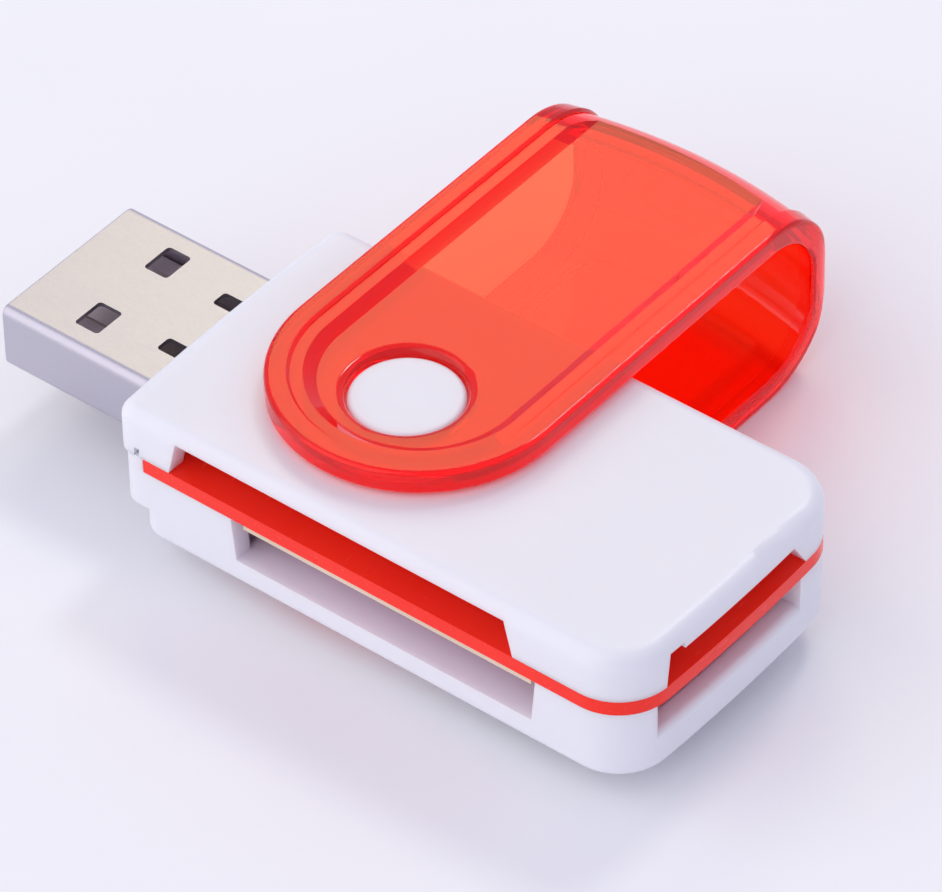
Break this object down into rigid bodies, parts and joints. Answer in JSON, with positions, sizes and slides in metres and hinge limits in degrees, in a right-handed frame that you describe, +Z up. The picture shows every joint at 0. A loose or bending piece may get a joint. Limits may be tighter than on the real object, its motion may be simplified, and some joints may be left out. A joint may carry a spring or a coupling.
{
  "type": "usb memory card reader",
  "caption": "Small card reader with a plug at one end, card slots along one side and at the other end, and a clear U-shaped cover that swivels round it on its two bosses.",
  "frame": {"origin": "middle of the whole footprint, on the surface that the lower arm of the cover lies on", "axes": "+X along the casing, away from the plug; +Y across it, towards the bend of the cover at rest; +Z up, along the pivot"},
  "size_m": [0.0502, 0.04, 0.013],
  "materials": {
    "red_translucent_plastic": "clear red, polished",
    "white_plastic": "satin white",
    "red_plastic": "clear red, satin edge",
    "board_laminate": "bare laminate edge",
    "plug_steel": "fine rolled grain",
    "contact_metal": "thin gold plating",
    "solder": "tinned",
    "black_plastic": "moulded matt",
    "tongue_plastic": "moulded satin",
    "ceramic": "fired ceramic",
    "capacitor_ceramic": "fired ceramic",
    "lamp_resin": "clear resin"
  },
  "bodies": {
    "casing": {"top_shell": "white_plastic", "bottom_shell": "white_plastic", "middle_plate": "red_plastic", "circuit_board": "board_laminate", "plug_shell": "plug_steel", "plug_contacts": "contact_metal", "plug_solder_joints": "solder", "plug_tongue": "tongue_plastic", "upper_side_contacts": "contact_metal", "lower_side_contacts": "contact_metal", "upper_end_contacts": "contact_metal", "lower_end_contacts": "contact_metal", "controller_chip": "black_plastic", "chip_terminals": "solder", "crystal_base": "ceramic", "crystal_lid": "plug_steel", "regulator": "black_plastic", "regulator_leads": "solder", "capacitors": "capacitor_ceramic", "capacitor_ends": "solder", "resistors": "black_plastic", "resistor_ends": "solder", "status_led": "lamp_resin"},
    "cover": {"swivel_cover": "red_translucent_plastic"}
  },
  "joints": [
    {"name": "cover_swivel", "type": "hinge", "parent": "casing", "child": "cover", "pos_m": [0.0009, -0.00972, 0.0065], "axis": [0, 0, 1], "continuous": true}
  ]
}
